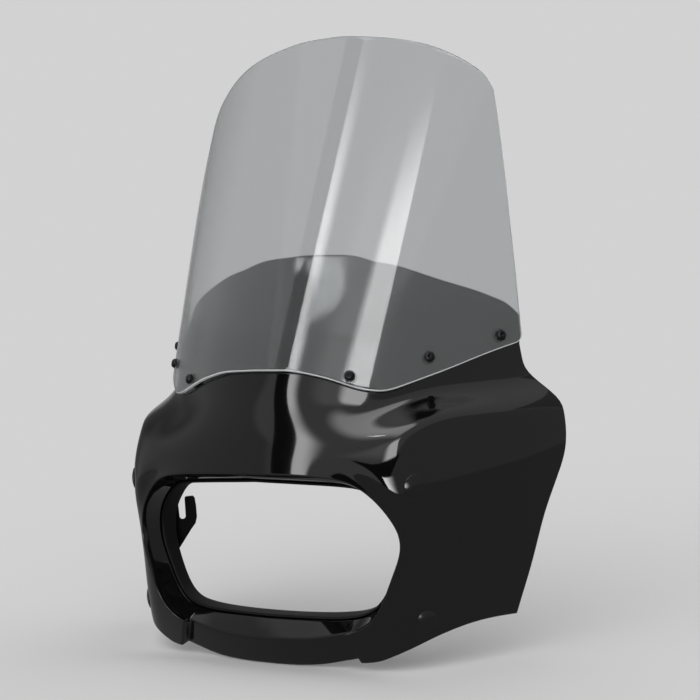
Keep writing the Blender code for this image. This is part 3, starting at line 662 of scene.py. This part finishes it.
# Walk from the middle and height on the skin
BOLT_SPOTS = [(201, -15), (201, -155)]
BOLT_RADIUS = 4.0
BOLT_BEYOND = 12.0
HEAD_RADIUS = 11.0
HEAD_SIDES = 72
HEAD_GAP = 0.15
HEAD_RIM = 0.75
HEAD_DOME = 1.9
SPACER_BORE = 4.5
SPACER_RADIUS = 9.0
SPACER_GAP = 1.9
NUT_BORE = 4.4
NUT_RADIUS = 7.4
NUT_FACE_RADIUS = 6.6
NUT_HEIGHT = 6.5
NUT_CHAMFER = 0.5
PLATE_DEPTH = 10.5
PLATE_THICKNESS = 3.0
PLATE_EDGE_RADIUS = 0.6
WEB_THICKNESS = 4.0
WEB_OFFSET = 15.0
# Outlines: of the strip as (along the wing, height), and of the web as (depth, height)
STRIP = [(-9, -168), (-6, -171), (15, -171), (18, -168), (18, -2), (15, 1), (-6, 1), (-9, -2)]
SLOT_RADIUS = 3.5
SLOT_END = (49.0, -67.5)
WEB = ([(PLATE_DEPTH + 1.0, -128), (20, -122), (31, -114), (40, -106.5), (57, -84), (63, -77), (65.2, -70),
        (65.5, -58), (64.8, -48), (63, -45.3), (54.5, -45.3), (53.2, -47)]
       + [(SLOT_END[0] + SLOT_RADIUS * math.cos(t), SLOT_END[1] + SLOT_RADIUS * math.sin(t))
          for t in np.linspace(0, -math.pi, 13)]
       + [(45.2, -50), (44, -42), (39, -33), (30, -24), (PLATE_DEPTH + 1.0, -24)])

# Steel with a thin coat of satin black paint. Its very dark colour and almost no shine are also painted shade,
# standing in for the shadow inside the wing.
black_paint_and_painted_shade, shader = new_material("black_paint_and_painted_shade")
shader.inputs["Base Color"].default_value = linear("#070708")
shader.inputs["Roughness"].default_value = 0.45
shader.inputs["Specular IOR Level"].default_value = 0.05

# Painted bolt heads: smooth, with a softer gloss than the shell.
gloss_black_paint, shader = new_material("gloss_black_paint")
shader.inputs["Base Color"].default_value = linear("#0e0e0f")
shader.inputs["Roughness"].default_value = 0.16


def skin_inward(s, z):
    """Direction into the shell: from the skin to the point a millimetre under it."""
    spot = np.array(float(s)), np.array(float(z))
    inward = skin_below(*spot, np.array(1.0)) - skin(*spot)
    return inward / np.linalg.norm(inward)


def head_part(sign, level):
    """Button head that lies on the curved skin: each ring is a circle of s and z, offset outward by its
    height; the dome's height is its full height times 1 - (radius / full radius) squared."""
    s, z = BOLT_SPOTS[("upper", "lower").index(level)]
    profile = [(0.0, -1.2), (BOLT_RADIUS, -1.2), (BOLT_RADIUS, HEAD_GAP), (HEAD_RADIUS - 0.35, HEAD_GAP),
               (HEAD_RADIUS, 0.4)]
    for radius in HEAD_RADIUS * (1 - np.linspace(0.02, 1, 14) ** 1.3):
        profile.append((radius, HEAD_RIM + HEAD_DOME * (1 - (radius / HEAD_RADIUS) ** 2)))
    angle = np.arange(HEAD_SIDES) * 2 * math.pi / HEAD_SIDES
    rows = [skin_below(sign * (s + radius * np.cos(angle)), z + radius * np.sin(angle),
                       np.full(HEAD_SIDES, -height)) for radius, height in profile]
    return ring_part(np.stack(rows))


def plate_part(outline, place, thickness):
    """Flat plate as a ring: both outlines and their middles, with quads between them."""
    first = np.array([place(*point) for point in outline])
    second = first + thickness
    faces = [list(range(len(outline))), list(range(2 * len(outline) - 1, len(outline) - 1, -1))]
    for k in range(len(outline)):
        n = (k + 1) % len(outline)
        faces.append([k, len(outline) + k, len(outline) + n, n])
    return np.concatenate([first, second]), faces


def plate_piece(name, parts, look, slot, *nodes):
    """Plates of many-sided faces, with normals turned outward and edges bevelled by a modifier."""
    verts, faces = [], []
    for points, part_faces in parts:
        faces += [[len(verts) + i for i in face] for face in part_faces]
        verts += ((points + MIDDLE) * MM).tolist()
    mesh = bpy.data.meshes.new(name)
    mesh.from_pydata(verts, [], faces)
    work = bmesh.new()
    work.from_mesh(mesh)
    bmesh.ops.recalc_face_normals(work, faces=work.faces)
    work.to_mesh(mesh)
    work.free()
    mesh.materials.append(look)
    made = bpy.data.objects.new(name, mesh)
    bpy.context.scene.collection.objects.link(made)
    bevel = made.modifiers.new("edges", "BEVEL")
    bevel.width = PLATE_EDGE_RADIUS * MM
    bevel.segments = 3
    bevel.limit_method = "ANGLE"
    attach(made, "root")
    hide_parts(*nodes)


# Each plate lies square to the mean direction into the wing at its bolts, PLATE_DEPTH inside the outer one
for side, sign in (("left", -1), ("right", 1)):
    spots = np.array([skin(np.array(sign * s), np.array(z)) for s, z in BOLT_SPOTS])
    into = sum(skin_inward(sign * s, z) for s, z in BOLT_SPOTS)
    into[2] = 0.0
    into /= np.linalg.norm(into)
    rearward = np.array([sign * into[1], abs(into[0]), 0.0])
    near = min(spots @ into)
    base = spots.mean(axis=0)
    base = (base + into * (near - base @ into)) * (1.0, 1.0, 0.0)

    def on_plate(along_wing, z):
        """Point on the strip's face, that far along the wing from the bolts."""
        return base + rearward * along_wing + into * PLATE_DEPTH + np.array([0.0, 0.0, z])

    def on_web(depth, z):
        """Point on the web's face, that deep inside the wing."""
        return base + rearward * WEB_OFFSET + into * depth + np.array([0.0, 0.0, z])

    # Plates and nuts take the black paint that also carries painted shade for the inside of the wing
    plate_piece(f"plate_{side}", [plate_part(STRIP, on_plate, into * PLATE_THICKNESS),
                                  plate_part(WEB, on_web, rearward * WEB_THICKNESS)],
                black_paint_and_painted_shade, "plate_steel", f"mounting_plate_{side}")
    for spot, level in zip(spots, ("upper", "lower")):
        plate_face = PLATE_DEPTH - (spot @ into - near)
        plate_back = plate_face + PLATE_THICKNESS
        shank = sleeve(0.0, BOLT_RADIUS, -plate_back - BOLT_BEYOND, -1.0)
        mesh_piece(f"bolt_{side}_{level}", [turned_part(spot, -into, shank), head_part(sign, level)],
                   gloss_black_paint, "bolt_steel", f"plate_bolt_{side}_{level}")
        spacer = softened(sleeve(SPACER_BORE, SPACER_RADIUS, -plate_face + NODE_GAP,
                                 -SHELL_WALL - SPACER_GAP), 0.6)
        mesh_piece(f"spacer_{side}_{level}", [turned_part(spot, -into, spacer)], black_rubber, "black_rubber",
                   f"plate_spacer_{side}_{level}")
        nut_face = -plate_back - NODE_GAP
        nut = [(NUT_BORE, nut_face - NUT_HEIGHT), (NUT_FACE_RADIUS, nut_face - NUT_HEIGHT, 1.0),
               (NUT_RADIUS, nut_face - (NUT_HEIGHT - NUT_CHAMFER), 1.0),
               (NUT_RADIUS, nut_face - NUT_CHAMFER, 1.0), (NUT_FACE_RADIUS, nut_face, 1.0),
               (NUT_BORE, nut_face)]
        mesh_piece(f"nut_{side}_{level}", [turned_part(spot, -into, nut)], black_paint_and_painted_shade, "plate_steel",
                   f"plate_nut_{side}_{level}")


# Floor
# A plain pale studio floor that runs into a background of the same colour, so
# that only the fairing's soft shadow shows on it.

PALE = linear("#d2d2d2")
FLOOR_HALF = 40


def flat_square(name, half, height, look):
    """Square about the origin at that height, facing up."""
    mesh = bpy.data.meshes.new(name)
    corners = [(x * half, y * half, height) for x, y in ((-1, -1), (1, -1), (1, 1), (-1, 1))]
    mesh.from_pydata(corners, [], [(0, 1, 2, 3)])
    mesh.materials.append(look)
    made = bpy.data.objects.new(name, mesh)
    bpy.context.scene.collection.objects.link(made)
    return made


# The fairing's shadow falls on the floor's own colour near it, and further out the floor glows as the
# background does
pale_floor, shader = new_material("pale_floor")
shader.inputs["Base Color"].default_value = PALE
shader.inputs["Roughness"].default_value = 1.0
shader.inputs["Specular IOR Level"].default_value = 0.0
place = add_node(pale_floor, "ShaderNodeTexCoord")
distance = add_node(pale_floor, "ShaderNodeVectorMath", {0: (place, "Object")}, operation="LENGTH")
fade = add_node(pale_floor, "ShaderNodeMapRange", {"Value": (distance, "Value")},
                interpolation_type="SMOOTHSTEP", From_Min=0.45, From_Max=1.6)
glow = add_node(pale_floor, "ShaderNodeEmission", Color=PALE)
mixed = add_node(pale_floor, "ShaderNodeMixShader",
                 {"Fac": (fade, "Result"), 1: (shader, "BSDF"), 2: (glow, "Emission")})
surface = pale_floor.node_tree.nodes["Material Output"].inputs["Surface"]
pale_floor.node_tree.links.new(mixed.outputs["Shader"], surface)
flat_square("floor", FLOOR_HALF, 0, pale_floor)

# Background: the same pale grey to the eye and in reflections, and brighter light for everything else
world = bpy.data.worlds.new("studio")
bpy.context.scene.world = world
world.use_nodes = True
sky = world.node_tree.nodes["Background"]
sky.inputs["Color"].default_value = PALE
paths = add_node(world, "ShaderNodeLightPath")
seen = add_node(world, "ShaderNodeMath", {0: (paths, "Is Camera Ray"), 1: (paths, "Is Glossy Ray")},
                operation="ADD")
seen = add_node(world, "ShaderNodeMath", {0: (seen, "Value"), 1: (paths, "Is Transmission Ray")},
                operation="ADD", use_clamp=True)
level = add_node(world, "ShaderNodeMapRange", {"Value": (seen, "Value")}, To_Min=1.55, To_Max=1.0)
world.node_tree.links.new(level.outputs["Result"], sky.inputs["Strength"])


# Studio light
# Soft panels on a dome round the fairing draw the long highlight down the nose,
# the ring beside it and the lit corner of the opening. Black cards sharpen their
# edges, and grey screens and felt, also on the floor, keep the black deep.

AIM = np.array([0.0, 0.0, 0.3044])
FELT_HALF = 3.6
FELT_HEIGHT = 0.002


def hide_from_all_but_gloss(made, through_sheet=False):
    """Shows an object of the studio to reflections alone, or also to what is seen through the sheet."""
    made.visible_camera = False
    made.visible_diffuse = False
    made.visible_shadow = False
    made.visible_transmission = through_sheet


def studio_card(name, look, foot_left, foot_right, top_right, top_left, distance=3.0, through_sheet=False):
    """Patch of a dome round the fairing, seen only in reflections. Its corners are azimuths and elevations
    in degrees; their directions are blended bilinearly and made as long as the distance."""
    azimuth, elevation = np.radians([foot_left, foot_right, top_right, top_left]).T
    corner = np.stack([np.sin(azimuth) * np.cos(elevation), -np.cos(azimuth) * np.cos(elevation),
                       np.sin(elevation)], -1)
    u, v = np.meshgrid(np.linspace(0, 1, 25), np.linspace(0, 1, 25))
    weight = np.stack([(1 - u) * (1 - v), u * (1 - v), u * v, (1 - u) * v], -1)
    toward = weight @ corner
    points = AIM + distance * toward / np.linalg.norm(toward, axis=-1, keepdims=True)
    number = np.arange(u.size).reshape(u.shape)
    faces = np.stack([number[:-1, :-1], number[:-1, 1:], number[1:, 1:], number[1:, :-1]], -1).reshape(-1, 4)
    mesh = bpy.data.meshes.new(name)
    mesh.from_pydata(points.reshape(-1, 3).tolist(), [], faces.tolist())
    mesh.uv_layers.new(name="card")
    mesh.uv_layers[0].data.foreach_set("uv", np.stack([u.ravel(), v.ravel()], -1)[faces.ravel()].ravel())
    mesh.materials.append(look)
    made = bpy.data.objects.new(name, mesh)
    bpy.context.scene.collection.objects.link(made)
    hide_from_all_but_gloss(made, through_sheet)


def panel_light(name, strength, left=0.0, right=0.0, foot=0.0, top=0.0):
    """White emission that fades out smoothly towards each side over the given share of the card: the
    product of one ramp for each side that has a share."""
    look = bpy.data.materials.new(name)
    look.use_nodes = True
    place = add_node(look, "ShaderNodeTexCoord")
    split = add_node(look, "ShaderNodeSeparateXYZ", {"Vector": (place, "UV")})
    level = None
    sides = (("X", 0.0, left), ("X", 1.0, 1.0 - right), ("Y", 0.0, foot), ("Y", 1.0, 1.0 - top))
    for axis, side, end in sides:
        if side == end:
            continue
        ramp = add_node(look, "ShaderNodeMapRange", {"Value": (split, axis)},
                        interpolation_type="SMOOTHSTEP", From_Min=side, From_Max=end)
        level = ramp if level is None else add_node(
            look, "ShaderNodeMath", {0: (level, level.outputs[0].name), 1: (ramp, "Result")},
            operation="MULTIPLY")
    glow = add_node(look, "ShaderNodeEmission", Color=linear("#ffffff"), Strength=strength)
    clear = add_node(look, "ShaderNodeBsdfTransparent")
    mix = add_node(look, "ShaderNodeMixShader", {1: (clear, "BSDF"), 2: (glow, "Emission")}, Fac=1.0)
    if level is not None:
        look.node_tree.links.new(level.outputs[0], mix.inputs["Fac"])
    surface = look.node_tree.nodes["Material Output"].inputs["Surface"]
    look.node_tree.links.new(mix.outputs["Shader"], surface)
    return look


# Panels: those with through_sheet also show in the shell's seat, behind the windshield
studio_card("strip_panel", panel_light("strip_panel", 6.8, right=0.75, foot=0.05, top=0.27),
            (-20.8, 7.5), (-11, 7), (-18.8, 58), (-29.3, 58), through_sheet=True)
studio_card("strip_panel_end", panel_light("strip_panel_end", 22.0, right=0.2, foot=0.05, top=0.05),
            (-98, 51), (-88, 61.5), (-48, 73), (-67, 67), through_sheet=True)
studio_card("high_panel", panel_light("high_panel", 7.0, left=0.4, right=0.03, foot=0.1, top=0.4),
            (8, 28), (31, 31), (29, 53), (17, 53), through_sheet=True)
studio_card("front_veil", panel_light("front_veil", 1.2, left=0.4, right=0.1, foot=0.3, top=0.35),
            (-14, 24), (32, 30), (30, 56), (-8, 56), 3.05, through_sheet=True)
studio_card("low_panel", panel_light("low_panel", 13.0, left=0.05, right=0.85, foot=0.12, top=0.08),
            (15, -11.5), (54, -17), (32, 14), (9.5, 14))
studio_card("ceiling_panel", panel_light("ceiling_panel", 3.2, left=0.25, right=0.25, foot=0.4, top=0.2),
            (-100, 45), (20, 50), (60, 84), (-130, 84), 3.1, through_sheet=True)

# Black velvet beside the panels
black_velvet = panel_light("black_velvet", 0.0)
studio_card("strip_flag", black_velvet, (-27, 7.5), (-20.8, 7.5), (-30, 60), (-43, 58), through_sheet=True)
studio_card("strip_flag_end", black_velvet, (-98, 48), (-98, 51), (-67, 67), (-84, 57), through_sheet=True)
studio_card("corner_flag", black_velvet, (0, -8), (13, -10), (37, 32.5), (-4, 25), 3.2)
soft_velvet = panel_light("soft_velvet", 0.0, left=0.3, right=0.3, foot=0.3, top=0.3)
studio_card("rear_flag", soft_velvet, (-178, 58), (-124, 56), (-108, 80), (150, 80), 3.05)

# Grey screens and felt at the sides, and felt on the floor
grey_felt = panel_light("grey_felt", 0.36, left=0.06, right=0.1, top=0.1)
studio_card("right_screen", grey_felt, (14, -40), (120, -35), (115, 45), (22, 31), 3.4)
studio_card("left_screen", grey_felt, (-150, -35), (-20, -20), (-32, 34), (-125, 38), 3.4)
dark_felt = panel_light("dark_felt", 0.25)
studio_card("far_right_screen", dark_felt, (114, -35), (175, -35), (175, 45), (112, 45), 3.45)
left_felt = panel_light("left_felt", 0.12, left=0.2, right=0.5, top=0.2)
studio_card("far_left_screen", left_felt, (-130, -20), (-84, -20), (-86, 36), (-128, 36), 3.3)
hide_from_all_but_gloss(flat_square("floor_felt", FELT_HALF, FELT_HEIGHT, dark_felt))


# Camera
# It stands at the front right, a little above the fairing. Its place, turn and
# lens were worked out from pairs of points that mirror each other on both sides.

YAW = math.radians(36.0)
LIFT = math.radians(5.0)
ROLL = math.radians(-5.302)
STAND = Vector((1.16085, -1.50839, 0.48262))
FOCAL_PIXELS = 1737.07
FRAME_PIXELS = 700
SENSOR_WIDTH = 36.0

camera = bpy.data.objects.new("camera", bpy.data.cameras.new("camera"))
bpy.context.scene.collection.objects.link(camera)
bpy.context.scene.camera = camera
camera.data.sensor_width = SENSOR_WIDTH
camera.data.lens = FOCAL_PIXELS / FRAME_PIXELS * SENSOR_WIDTH
ahead = Vector((-math.sin(YAW) * math.cos(LIFT), math.cos(YAW) * math.cos(LIFT), -math.sin(LIFT)))
level_right = Vector((math.cos(YAW), math.sin(YAW), 0.0))
level_up = level_right.cross(ahead)
right = level_right * math.cos(ROLL) + level_up * math.sin(ROLL)
up = level_up * math.cos(ROLL) - level_right * math.sin(ROLL)
turned = Matrix((right, up, -ahead)).transposed().to_4x4()
camera.matrix_world = Matrix.Translation(STAND) @ turned

bpy.context.scene.view_settings.view_transform = "Standard"
